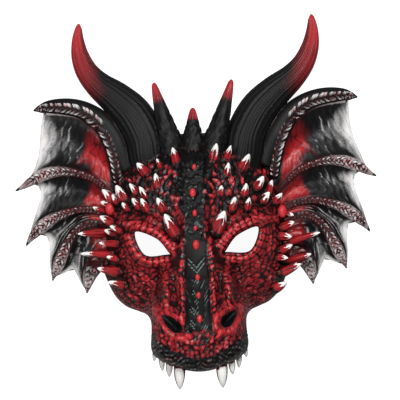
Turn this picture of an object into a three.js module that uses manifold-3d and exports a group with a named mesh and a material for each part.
// Dragon head mask: a hollow half mask of moulded flexible foam, made as one casting.
// It lies on its back rim, face up. X is to the right, Y runs up the face to the horn tips and
// Z comes out of the face. All sizes are millimetres.
// Points are measured from the middle of the brow; the group's position moves the frame's origin
// to the centre of the footprint.

import * as THREE from "three";
import { mergeVertices } from "three/addons/utils/BufferGeometryUtils.js";
import { LoftGeometry } from "three/addons/geometries/LoftGeometry.js";
import Module from "manifold-3d";

const wasm = await Module();
wasm.setup();

// Driving dimensions
const WALL = 5.5; // foam wall of the face
const TRIM_WALL = 4; // how deep horns, ears and spikes are rooted in that wall
const WEB_THICKNESS = 3.2; // ear web at its root
const WEB_EDGE = 1.6; // ear web at its free edge
const LEAN = { from: 20, slope: 0.036 }; // horns and crest all lean a little to the right as they rise
const SET_OVER = 2.3; // horns and ears sit this far to the right of the face's middle line
const MIDDLE_X = 2.4; // half way between the two widest ear tips
const HORN_TIP_Y = 163.3;
const FANG_TIP_Y = -148.5;
const RIM_COLUMNS = 72; // points round the rim
const OUTER_RINGS = 14;
const INNER_RINGS = 6;
const EAR_ROWS = 5;
const POLE = new THREE.Vector2(0, -30); // the rings shrink towards this point between the eyes

// The free edge of the mask, right half, from the top of the head down to the middle of the lip:
// x, y, and the height z of the rim above what the mask lies on.
const RIM_HALF = [
  [0, 66, 0], [20, 65.5, 0], [40, 61, 0], [57, 51, 0], [70, 36, 0], [78, 18, 0], [82, -2, 0],
  [83, -24, 0], [82, -42, 0], [77.5, -57.5, 3], [71, -71, 9], [62, -80, 15], [51.5, -84.5, 21],
  [44.5, -87.5, 26], [40.8, -93, 33], [40.5, -104, 43], [41.3, -113, 53], [39.5, -119.5, 63],
  [34, -124, 73], [24, -129, 83], [12, -133, 90], [0, -134.5, 92],
];

// Height of the face along its middle line, from the lip to the crown: y, z.
const MIDLINE = [
  [-137, 98], [-125, 115], [-115, 121], [-105, 122], [-90, 116], [-70, 104], [-50, 93],
  [-30, 84], [-10, 80], [10, 78], [30, 72], [50, 61], [66, 46],
];

// Height of the broad skull and cheeks behind the muzzle: y, z at the middle.
const SKULL = [
  [-137, 8], [-100, 30], [-80, 47], [-60, 60], [-40, 70], [-20, 75], [0, 77], [20, 74],
  [40, 66], [60, 51], [66, 46],
];
const SKULL_HALF_WIDTH = 95;
const SKULL_POWER = 2.4;

// Half width of the muzzle from the lip up to the bridge of the nose: y, x.
const MUZZLE_HALF_WIDTH = [[-137, 44], [-100, 44], [-80, 41], [-60, 35], [-40, 26], [-20, 22], [60, 30]];

// Folds of skin on the right half: a path, its half width and its height (negative for a groove).
const FOLDS = {
  brow: { path: [[17, -38], [22, -29], [31, -19], [43, -12.5], [56, -9], [69, -10]], width: 4.4, height: 6 },
  browGroove: { path: [[20, -22], [30, -10], [45, -3], [62, 0]], width: 3.4, height: -2.5 },
  lowerLid: { path: [[24, -41], [34, -43.5], [45, -40], [53, -32], [57.5, -21]], width: 3.2, height: 2.8 },
  bridgeEdge: { path: [[12, -22], [13, -45], [13, -70], [14, -92]], width: 2.4, height: 2.4 },
  bridgeGroove: { path: [[18.5, -40], [19.5, -60], [18, -78]], width: 2.8, height: -3.4 },
  fold: { path: [[26, -47], [26.5, -62], [25.5, -80]], width: 3.4, height: 3.4 },
  foldGroove: { path: [[33, -48], [34, -60], [32, -74]], width: 3, height: -3 },
  nostrilWing: { path: [[18, -100], [14, -106], [8, -110]], width: 2.8, height: 2.2 },
  lipGroove: { path: [[38, -110], [28, -117.5], [14, -123], [0, -126]], width: 2.6, height: -2.4 },
};
const BRIDGE = { halfWidth: 10.5, height: 3, from: -98, to: 52 };
const SOCKET = { x: 38, y: -27, radiusX: 17, radiusY: 11, depth: 5 };
const NOSTRIL = { x: 24.3, y: -93.5, bulge: 5.5, bulgeRadius: 12, long: 9, short: 3.9, deep: 8, tilt: 0.75 };
const CHEEKBONE = { x: 60, y: -32, radius: 16, height: 4 };

// Eye opening, right side: corner points of the almond.
// Both openings sit a little to the right of the middle line.
const EYE = { inner: [23, -36.2], top: [34, -22.8], outer: [52, -16.6], bottom: [44.5, -36], shift: 1.4 };

// Horns, crest spikes: centre x, y, z and half width of each section, right side.
const HORN_SECTIONS = [
  [38, 34, 42, 16], [40.5, 48, 43, 17.2], [43.5, 64, 42, 17.2], [53.5, 83, 39, 16.4],
  [67.5, 97.5, 36, 14.2], [82, 109.5, 33, 11.4], [92.3, 121.5, 30, 9.5], [98.2, 135, 27, 7.6],
  [100.3, 148, 24, 5.4], [99.9, 159, 22, 3], [99.7, HORN_TIP_Y, 21.5, 0.9],
];
const HORN_FLATTEN = 0.74; // depth of a horn against its width
const SIDE_CREST = [
  [16.2, 46, 50, 11], [19.7, 60, 51, 10.1], [25.2, 80, 49, 7], [29.7, 96, 47, 4.3], [32.4, 106.5, 45.5, 2.4],
  [32.8, 109.3, 45, 0.9],
];
const MIDDLE_CREST = [
  [0, 48, 50, 11], [0, 62, 51, 8.6], [0, 72, 50, 5.9], [0, 80, 49, 3.8], [0, 85, 48, 2.2], [0, 86.6, 47.8, 0.8],
];

// Spikes of the skin: tip x, y, base x, y and base radius. The two sides were sculpted freely,
// so they are not mirror images.
const SPIKES = [
  [19.9, 55, 16.9, 42, 4], [31.9, 53, 28.4, 42, 3], [47.4, 45, 40.9, 33, 4.6], [29.9, 38.5, 27.9, 28, 3.2],
  [59.4, 26, 53.4, 17, 4.3], [23.9, 19.5, 22.4, 12, 3.2], [44.9, 20.5, 42.4, 11, 3.6], [66.9, 22.5, 63.4, 12, 3.2],
  [63.9, 12.5, 58.4, 5, 4], [34.9, 9.5, 31.4, -1, 4], [46.9, 8.5, 44.4, -1, 3.2], [25.4, -2, 17.4, -19, 6.4],
  [74.9, 11, 68.4, 4, 3.6], [83.4, 4, 77.4, 1, 2.6], [84.4, -8, 76.4, -5, 2.8], [84.4, -13.5, 74.4, -18, 3.8],
  [81.9, -26, 72.4, -25, 3.6], [81.9, -33, 72.4, -38, 3.8], [77.9, -44, 69.4, -43, 2.8],
  [105.9, -23.5, 77.4, -31, 4.8], [97.9, -41.5, 77.4, -47.5, 5], [88.9, -49.5, 72.4, -57, 5], [76.4, -64.5, 66.4, -70, 4.4],
  [-17.1, 53, -14.1, 41, 3.9], [-30.6, 44.5, -27.6, 37, 2.4], [-47.1, 41.5, -39.6, 33, 4.6], [-31.6, 32, -29.6, 20, 3.8],
  [-53.6, 24.5, -47.6, 16, 3.2], [-45.1, 21.5, -39.6, 12, 3.2], [-51.6, 12, -45.6, 4, 3.8], [-44.1, 11.5, -38.6, 1, 4],
  [-30.6, 11.5, -24.6, 0, 4.2], [-24.6, -2.5, -15.6, -20, 6.2], [-65.1, 23.5, -58.6, 11, 4.6], [-77.1, 20.5, -69.6, 12, 4.2],
  [-68.6, 16, -64.6, 10, 4], [-79.1, 10, -72.6, 8, 2.8], [-60.6, 8.5, -55.6, 3, 3.2], [-86.1, 6, -75.6, 1, 3],
  [-80.1, -2, -70.6, -8, 4], [-71.6, -10.5, -62.6, -15, 3.4], [-76.6, -14, -68.6, -17, 3.2], [-99.1, -16, -72.6, -16.5, 4.8],
  [-81.6, -24.5, -66.6, -26, 3.8], [-97.6, -33, -71.6, -34.5, 5], [-75.6, -36.5, -67.6, -39, 3.2],
  [-84.1, -46, -66.6, -50, 6], [-75.6, -58, -62.6, -61.5, 4.8],
];
const SPIKE_ROOT = 2.5; // how far a spike starts under the skin
const SPIKE_LIFT = 0.4; // rise of a tip for each millimetre of its length

// Round beads: x, y and radius. Most follow the middle line, and a larger one closes each brow.
const BEADS = [[-0.6, 14.5, 3.2], [0.4, -29, 3.4], [0.4, -89, 3.2], [75, -4, 4.6], [-71.6, 4, 4.6]];

// Ribs of the right ear: centre x, y, z and radius.
const RIBS = [
  [[58, 36, 42, 6], [66, 57, 40, 8.4], [72, 68, 38, 8.8], [80, 78, 36, 8.8], [90, 85.5, 33, 8.4],
    [101, 90.5, 30, 7.8], [113, 92.8, 27, 7.2], [125, 93.2, 24, 5.8], [133, 92, 21.5, 3.6], [138.8, 90.8, 20, 0.7]],
  [[68, 12, 34, 2.6], [80, 24, 35, 2.7], [90, 31, 34.5, 2.8], [102, 35.5, 33.5, 3], [115, 37.5, 31.5, 3.6],
    [128, 36, 29, 4.4], [140, 31, 26, 4], [148, 26, 23, 2.4], [154.5, 22.8, 21, 0.6]],
  [[72, -3, 30, 2.6], [84, 2.5, 32, 2.6], [97, 4.3, 31.5, 2.8], [109, 2.5, 30.5, 3.2], [120, -1, 28.5, 3.9],
    [131, -7, 25.5, 4.8], [139, -14, 21.5, 4], [144, -19.5, 18, 2.4], [147.5, -24.5, 16, 0.6]],
  [[74, -12, 28, 3], [88, -8, 29, 3], [98, -9.5, 28.5, 3], [107, -17, 26.5, 3.4], [115, -30, 22.5, 4.4],
    [120, -41, 18, 4.6], [124, -49, 14.5, 2.8], [126.3, -55.5, 12, 0.6]],
  [[74, -36, 25, 5], [82, -39, 23.5, 6.5], [89, -44, 20, 7.3], [93.5, -51, 16, 6.2], [96, -59, 12.5, 4],
    [97.4, -67.5, 10, 0.7]],
];
// Webs between those ribs: how far out along the upper and the lower rib the free edge starts,
// how deep its scallop is, and where the scallop is deepest (1 is the middle, less is nearer the upper rib).
// The free edge of the left ear is cut a little closer in its two large webs.
const RIGHT_WEBS = [
  { upper: 0.87, lower: 0.8, scallop: 0.07, skew: 1, sag: 7 },
  { upper: 0.77, lower: 0.84, scallop: 0.12, skew: 0.7, sag: 5 },
  { upper: 0.73, lower: 0.94, scallop: 0.14, skew: 0.65, sag: 5 },
  { upper: 0.9, lower: 0.92, scallop: 0.24, skew: 1, sag: 4 },
];
const LEFT_WEBS = [
  { ...RIGHT_WEBS[0], upper: 0.84, lower: 0.74 },
  { ...RIGHT_WEBS[1], upper: 0.75, lower: 0.78 },
  ...RIGHT_WEBS.slice(2),
];

// Teeth along the lip, right side: tip x, y, base x, y, radius and height of the base.
const TEETH = [
  [18, FANG_TIP_Y, 17.5, -128, 4.8, 88], [26.5, -138.3, 26, -126, 2.9, 82],
  [32, -133.5, 32.5, -122, 2.5, 75], [39, -125.5, 37.5, -117, 2.2, 64],
];

// Helpers

// Reads a list of [t, value] pairs as a smooth curve.
function smoothCurve(knots, t) {
  const last = knots.length - 1;
  if (t <= knots[0][0]) return knots[0][1];
  if (t >= knots[last][0]) return knots[last][1];
  const i = knots.findIndex((knot) => knot[0] > t) - 1;
  const slope = (j) => {
    const [a, b] = [Math.max(j - 1, 0), Math.min(j + 1, last)];
    return (knots[b][1] - knots[a][1]) / (knots[b][0] - knots[a][0]);
  };
  const span = knots[i + 1][0] - knots[i][0];
  const u = (t - knots[i][0]) / span;
  const [h00, h10] = [2 * u ** 3 - 3 * u ** 2 + 1, u ** 3 - 2 * u ** 2 + u];
  const [h01, h11] = [3 * u ** 2 - 2 * u ** 3, u ** 3 - u ** 2];
  return h00 * knots[i][1] + h10 * span * slope(i) + h01 * knots[i + 1][1] + h11 * span * slope(i + 1);
}

const smoothMax = (a, b, blend) => (a + b + Math.sqrt((a - b) ** 2 + blend ** 2)) / 2;
const bell = (distance, width) => Math.exp(-((distance / width) ** 2));

// Distance from a point to a path in plan, and how far along it the nearest point is (0 to 1).
function nearestOn(path, x, y) {
  let best = { distance: Infinity, along: 0 };
  for (let i = 0; i + 1 < path.length; i++) {
    const [ax, ay] = path[i];
    const [dx, dy] = [path[i + 1][0] - ax, path[i + 1][1] - ay];
    const u = THREE.MathUtils.clamp(((x - ax) * dx + (y - ay) * dy) / (dx * dx + dy * dy), 0, 1);
    const distance = Math.hypot(x - ax - u * dx, y - ay - u * dy);
    if (distance < best.distance) best = { distance, along: (i + u) / (path.length - 1) };
  }
  return best;
}

const smoothPath = (points) =>
  new THREE.SplineCurve(points.map(([x, y]) => new THREE.Vector2(x, y))).getPoints(20).map((p) => [p.x, p.y]);

// The face as a height over the plan

// Skull, cheeks and muzzle without their skin folds.
function bareHeight(x, y) {
  const side = Math.abs(x);
  const skull = smoothCurve(SKULL, y) * (1 - Math.min(side / SKULL_HALF_WIDTH, 1) ** SKULL_POWER);
  const edge = smoothCurve(MUZZLE_HALF_WIDTH, y);
  const crown = smoothCurve(MIDLINE, y) - 9 * (side / 30) ** 2;
  const muzzle = crown - 62 * THREE.MathUtils.smoothstep(side, edge - 12, edge + 10);
  return smoothMax(skull, muzzle, 7);
}

const foldPaths = Object.values(FOLDS).map((fold) => ({ ...fold, path: smoothPath(fold.path) }));

// The same with brow, lids, folds, bridge and nostril bulges.
function faceHeight(x, y) {
  const side = Math.abs(x);
  let z = bareHeight(x, y);
  for (const fold of foldPaths) {
    const { distance, along } = nearestOn(fold.path, side, y);
    const taper = Math.min(1, 4 * along + 0.3, 4 * (1 - along) + 0.3);
    z += fold.height * taper * bell(distance, fold.width);
  }
  const onBridge = THREE.MathUtils.smoothstep(y, BRIDGE.from - 4, BRIDGE.from + 4)
    * (1 - THREE.MathUtils.smoothstep(y, BRIDGE.to - 12, BRIDGE.to));
  z += BRIDGE.height * onBridge * (1 - THREE.MathUtils.smoothstep(side, BRIDGE.halfWidth - 2, BRIDGE.halfWidth + 2));
  z -= SOCKET.depth * bell(Math.hypot((side - SOCKET.x) / SOCKET.radiusX, (y - SOCKET.y) / SOCKET.radiusY), 1);
  z += NOSTRIL.bulge * bell(Math.hypot(side - NOSTRIL.x, y - NOSTRIL.y), NOSTRIL.bulgeRadius);
  z += CHEEKBONE.height * bell(Math.hypot(side - CHEEKBONE.x, y - CHEEKBONE.y), CHEEKBONE.radius);
  return z;
}

// The inner face: the bare form pressed in by the wall, measured square to the surface.
function innerHeight(x, y, wall) {
  let z = bareHeight(x, y) - wall;
  for (const [reach, drop] of [[0.8, 0.6], [1, 0]]) {
    for (let k = 0; k < 8; k++) {
      const angle = (k * Math.PI) / 4;
      const height = bareHeight(x + reach * wall * Math.cos(angle), y + reach * wall * Math.sin(angle));
      z = Math.min(z, height - drop * wall);
    }
  }
  return z;
}

// Solids

// A closed three.js surface as a solid. Triangles that shrink to a line at a pole are dropped.
function toSolid(geometry) {
  const bare = new THREE.BufferGeometry().setAttribute("position", geometry.getAttribute("position"));
  bare.setIndex(geometry.index);
  const merged = mergeVertices(bare, 1e-3);
  const corners = [];
  for (let i = 0; i < merged.index.count; i += 3) {
    const [a, b, c] = merged.index.array.slice(i, i + 3);
    if (a !== b && b !== c && c !== a) corners.push(a, b, c);
  }
  const triVerts = new Uint32Array(corners);
  const build = () =>
    new wasm.Manifold(new wasm.Mesh({ numProp: 3, vertProperties: merged.attributes.position.array, triVerts }));
  const solid = build();
  if (solid.volume() > 0) return solid;
  triVerts.reverse();
  return build();
}

const loft = (sections) => toSolid(new LoftGeometry(sections, { capStart: true, capEnd: true }));
const mirrored = (solid) => solid.mirror([1, 0, 0]);
const joined = (solids) => solids.reduce((all, solid) => all.add(solid));

const rimRight = RIM_HALF.map(([x, y, z]) => new THREE.Vector3(x, y, z));
const rimLeft = RIM_HALF.slice(1, -1).reverse().map(([x, y, z]) => new THREE.Vector3(-x, y, z));
const rim = new THREE.CatmullRomCurve3([...rimRight, ...rimLeft], true, "centripetal")
  .getSpacedPoints(RIM_COLUMNS)
  .slice(0, RIM_COLUMNS)
  .map((p) => p.setZ(Math.max(p.z, 0)));

// One ring of the face at a share of the way out to the rim, with heights from a function.
// Near the rim the surface turns down to it in a rounded edge.
function faceRing(share, wall, height) {
  const turnDown = (1 - share ** 12) ** 0.45;
  return rim.map((edge) => {
    const reach = Math.hypot(edge.x - POLE.x, edge.y - POLE.y);
    const inset = 1 - wall / reach;
    const x = POLE.x + (edge.x - POLE.x) * share * inset;
    const y = POLE.y + (edge.y - POLE.y) * share * inset;
    return new THREE.Vector3(x, y, edge.z + (height(x, y) - edge.z) * turnDown);
  });
}

// Shares of the rings, from the pole outwards: closest together near the turned-down edge.
const ringShares = (count) => Array.from({ length: count }, (_, i) => Math.sin((i / (count - 1)) * (Math.PI / 2)));

function faceShell() {
  const outer = ringShares(OUTER_RINGS).map((share) => faceRing(share, 0, faceHeight));
  const inner = ringShares(INNER_RINGS).map((share) => faceRing(share, WALL, (x, y) => innerHeight(x, y, WALL)));
  return toSolid(new LoftGeometry([...outer, ...inner.reverse()]));
}

// The space behind the face, grown into its wall, which trims what is rooted there.
function spaceBehind() {
  const floor = -30;
  const inner = ringShares(INNER_RINGS).map((share) =>
    faceRing(share, TRIM_WALL, (x, y) => innerHeight(x, y, TRIM_WALL)));
  const skirt = inner.at(-1).map((p) => new THREE.Vector3(p.x, p.y, floor));
  return toSolid(new LoftGeometry([...inner, skirt], { capEnd: true }));
}

// A horn, spike or rib: flattened round sections square to the path, closed at both ends.
function taperedSweep(stations, sides, flatten = 1) {
  const centres = stations.map(([x, y, z]) => new THREE.Vector3(x, y, z));
  const sections = centres.map((centre, i) => {
    const ahead = centres[Math.min(i + 1, centres.length - 1)];
    const behind = centres[Math.max(i - 1, 0)];
    const along = new THREE.Vector3().subVectors(ahead, behind).normalize();
    const across = new THREE.Vector3(0, 0, 1).cross(along).normalize();
    const out = new THREE.Vector3().crossVectors(along, across);
    return Array.from({ length: sides }, (_, k) => {
      const angle = (k / sides) * 2 * Math.PI;
      const radius = stations[i][3];
      return centre.clone()
        .addScaledVector(across, radius * Math.cos(angle))
        .addScaledVector(out, radius * flatten * Math.sin(angle));
    });
  });
  return loft(sections);
}

// More stations between the given ones, along a smooth curve.
function refined(stations, count) {
  const curve = new THREE.CatmullRomCurve3(stations.map(([x, y, z]) => new THREE.Vector3(x, y, z)), false, "centripetal");
  const radii = stations.map((station, i) => [i / (stations.length - 1), station[3]]);
  return Array.from({ length: count }, (_, i) => {
    const t = i / (count - 1);
    const p = curve.getPoint(t);
    return [p.x, p.y, p.z, smoothCurve(radii, t)];
  });
}

function spike([tipX, tipY, baseX, baseY, radius]) {
  const length = Math.hypot(tipX - baseX, tipY - baseY);
  const foot = faceHeight(baseX, baseY);
  const station = (along, share) => [
    THREE.MathUtils.lerp(baseX, tipX, along),
    THREE.MathUtils.lerp(baseY, tipY, along),
    foot - SPIKE_ROOT + (SPIKE_ROOT + SPIKE_LIFT * length) * along,
    radius * share,
  ];
  return taperedSweep([station(-0.1, 0.95), station(0.65, 0.66), station(1, 0.12)], radius < 4 ? 4 : 5);
}

function bead([x, y, radius]) {
  const ball = new THREE.SphereGeometry(radius, 6, 4);
  ball.scale(1, 1.2, 0.8).translate(x, y, faceHeight(x, y) - 0.15 * radius);
  return toSolid(ball);
}

function tooth([tipX, tipY, baseX, baseY, radius, height]) {
  const station = (along, share) => [
    THREE.MathUtils.lerp(baseX, tipX, along),
    THREE.MathUtils.lerp(baseY, tipY, along),
    height + 2 * Math.sin(along * Math.PI),
    radius * share,
  ];
  return taperedSweep([station(0, 1), station(0.6, 0.8), station(1, 0.14)], 5);
}

// Where a point at a share of a rib's length lies, its radius there, and which way is across the rib.
const ribs = RIBS.map((rib) => {
  const curve = new THREE.CatmullRomCurve3(rib.map(([x, y, z]) => new THREE.Vector3(x, y, z)), false, "centripetal");
  const radii = rib.map((station, i) => [i / (rib.length - 1), station[3]]);
  return (along) => {
    const ahead = curve.getTangent(along);
    const across = new THREE.Vector3(ahead.y, -ahead.x, 0).normalize();
    return { centre: curve.getPoint(along), radius: smoothCurve(radii, along), across };
  };
});
const earRows = Array.from({ length: EAR_ROWS + 1 }, (_, k) => k / EAR_ROWS);

// Each column of the ear's sheet runs out from the head as a closed loop, up the back and down the front.
const column = (front, back) => [...earRows.map(back), ...earRows.map(front).reverse()];
const lifted = (point, rise) => point.clone().setZ(point.z + rise);

function ribColumn(index, offset, end) {
  const at = (v) => {
    const { centre, radius, across } = ribs[index](v * end);
    return { point: centre.addScaledVector(across, offset * radius), bulge: radius * Math.sqrt(1 - offset ** 2) };
  };
  const edge = (v) => THREE.MathUtils.lerp(WEB_THICKNESS, WEB_EDGE, v) / 2;
  const flatten = index === 0 ? 0.75 : 1;
  return column(
    (v) => lifted(at(v).point, Math.max(at(v).bulge * flatten, edge(v))),
    (v) => lifted(at(v).point, -Math.max(at(v).bulge * flatten, edge(v))),
  );
}

function webColumn(index, w, { upper, lower, scallop, skew, sag }) {
  const dip = Math.sin(Math.PI * w ** skew);
  const middle = (v) => {
    const reach = v * (1 - scallop * dip);
    const above = ribs[index](reach * upper);
    const below = ribs[index + 1](reach * lower);
    above.centre.addScaledVector(above.across, above.radius);
    below.centre.addScaledVector(below.across, -below.radius);
    return lifted(above.centre.lerp(below.centre, w), -sag * dip * Math.min(1, 2 * v));
  };
  const half = (v) => THREE.MathUtils.lerp(WEB_THICKNESS, WEB_EDGE, v) / 2;
  return column((v) => lifted(middle(v), half(v)), (v) => lifted(middle(v), -half(v)));
}

// An ear is one sheet, thick along its ribs and thin in the webs between, with the rib ends as spikes.
function ear(webs) {
  const ends = ribs.map((_, i) => [
    i > 0 ? webs[i - 1].lower : webs[0].upper,
    i < webs.length ? webs[i].upper : webs.at(-1).lower,
  ]);
  const columns = ends.flatMap(([above, below], i) => {
    const offsets = i === 0 ? [-1, -0.5, 0.5, 1] : [-1, 0, 1];
    const rib = offsets.map((offset) => ribColumn(i, offset, THREE.MathUtils.lerp(above, below, (offset + 1) / 2)));
    if (i === webs.length) return rib;
    return [...rib, ...(i === 0 ? [0.3, 0.7] : [0.5]).map((w) => webColumn(i, w, webs[i]))];
  });
  const tips = ribs.map((rib, i) => {
    const end = Math.min(...ends[i]);
    const stations = [[end - 0.07, 0.5], [end + 0.02, 0.97], [(end + 1.02) / 2, 1], [1, 1]].map(([along, share]) => {
      const { centre, radius } = rib(along);
      return [centre.x, centre.y, centre.z, radius * share];
    });
    return taperedSweep(stations, i === 0 ? 7 : 5, i === 0 ? 0.75 : 1);
  });
  return joined([loft(columns), ...tips]);
}

function eyeHole() {
  const { inner, top, outer, bottom } = EYE;
  const outline = new THREE.SplineCurve([inner, top, outer, bottom, inner].map(([x, y]) => new THREE.Vector2(x, y)));
  const almond = new THREE.Shape(outline.getPoints(14).slice(0, -1));
  return toSolid(new THREE.ExtrudeGeometry(almond, { depth: 140, bevelEnabled: false }).translate(0, 0, -10));
}

function nostrilPit() {
  const pit = new THREE.SphereGeometry(1, 8, 6).scale(NOSTRIL.long, NOSTRIL.short, NOSTRIL.deep);
  pit.rotateZ(NOSTRIL.tilt).translate(NOSTRIL.x, NOSTRIL.y, faceHeight(NOSTRIL.x, NOSTRIL.y) + 0.5);
  return toSolid(pit);
}

function castMask() {
  const pair = (solid) => solid.add(mirrored(solid));
  const horns = pair(taperedSweep(refined(HORN_SECTIONS, 13), 9, HORN_FLATTEN));
  const crest = pair(taperedSweep(SIDE_CREST, 8)).add(taperedSweep(MIDDLE_CREST, 8));
  const teeth = TEETH.map((row) => pair(tooth(row)));
  const setOver = joined([horns, ear(RIGHT_WEBS), mirrored(ear(LEFT_WEBS))]).translate([SET_OVER, 0, 0]);
  const outside = joined([setOver, crest, ...SPIKES.map(spike), ...BEADS.map(bead), ...teeth]);
  return faceShell()
    .add(outside.subtract(spaceBehind()))
    .subtract(pair(eyeHole()).translate([EYE.shift, 0, 0]))
    .subtract(pair(nostrilPit()));
}

function toGeometry(solid) {
  const { vertProperties, triVerts } = solid.getMesh();
  for (let i = 0; i < vertProperties.length; i += 3) {
    vertProperties[i] += LEAN.slope * Math.max(vertProperties[i + 1] - LEAN.from, 0);
  }
  const geometry = new THREE.BufferGeometry();
  geometry.setAttribute("position", new THREE.BufferAttribute(vertProperties, 3));
  geometry.setIndex(new THREE.BufferAttribute(triVerts, 1));
  geometry.computeVertexNormals();
  return geometry;
}

const foam = new THREE.MeshStandardMaterial({ color: 0x5a1417, roughness: 0.55, metalness: 0 });
const mask = new THREE.Mesh(toGeometry(castMask()), foam);
mask.name = "dragon_mask";

const part = new THREE.Group();
part.add(mask);
part.position.set(-MIDDLE_X, -(HORN_TIP_Y + FANG_TIP_Y) / 2, 0);

export default part;
